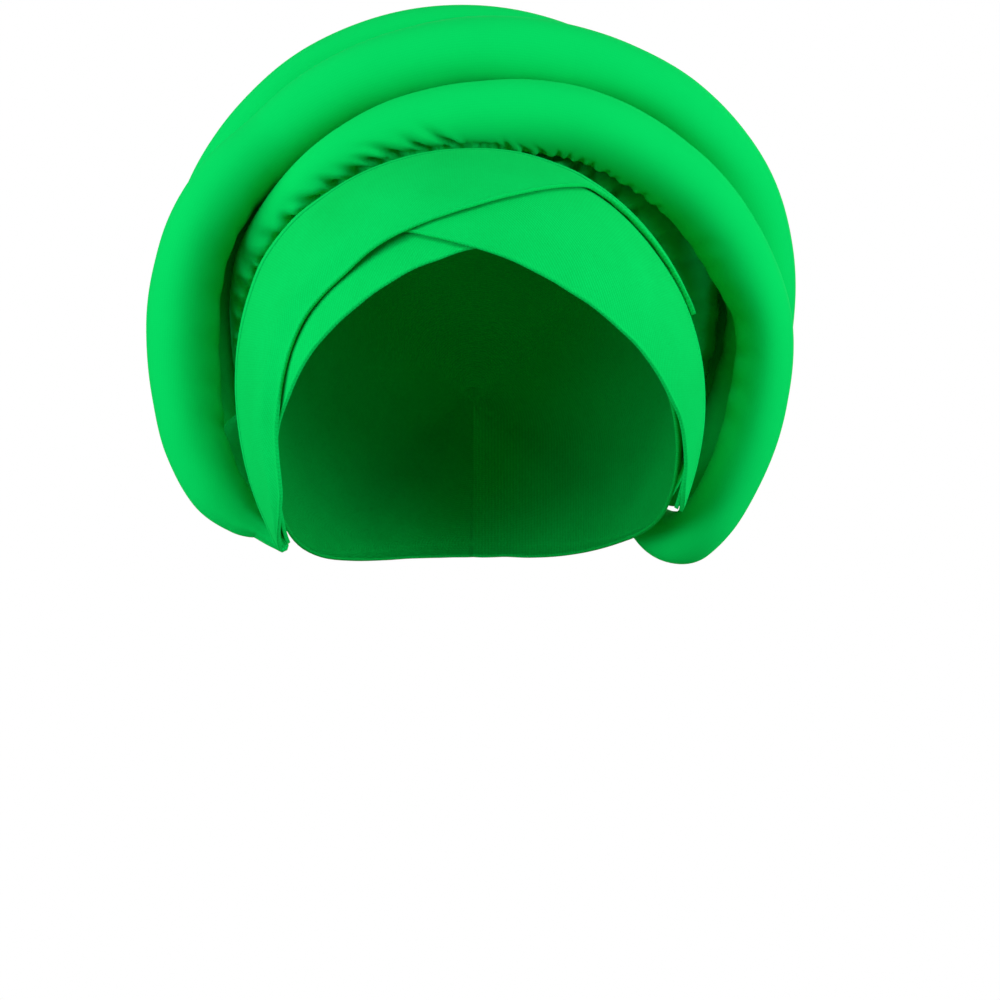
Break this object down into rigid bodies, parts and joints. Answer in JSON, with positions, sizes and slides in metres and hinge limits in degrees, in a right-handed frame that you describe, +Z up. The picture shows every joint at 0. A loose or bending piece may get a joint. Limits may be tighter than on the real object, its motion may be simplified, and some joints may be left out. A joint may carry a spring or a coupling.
{
  "type": "twisted turban",
  "caption": "Ready-tied padded head wrap: flat bands cross over the forehead, and stuffed rolls are wound behind them round a gathered crown.",
  "frame": {"origin": "where the crown of the head touches the inside of the fitted cap; the whole turban is held there as a head holds it", "axes": "+Z up through the crown, -Y the way the wearer looks, +X towards the wearer's left"},
  "size_m": [0.2348, 0.199, 0.205],
  "materials": {
    "cap_lining": "matt knitted cloth",
    "band_cloth": "matt woven twill",
    "roll_cloth": "matt woven twill",
    "bag_cloth": "matt woven twill, gathered"
  },
  "bodies": {
    "root": {"fitted_cap": "cap_lining", "under_band": "band_cloth", "cross_band": "band_cloth", "over_band": "band_cloth", "front_roll": "roll_cloth", "outer_roll": "roll_cloth", "back_roll": "roll_cloth", "gathered_bag": "bag_cloth"}
  },
  "joints": []
}
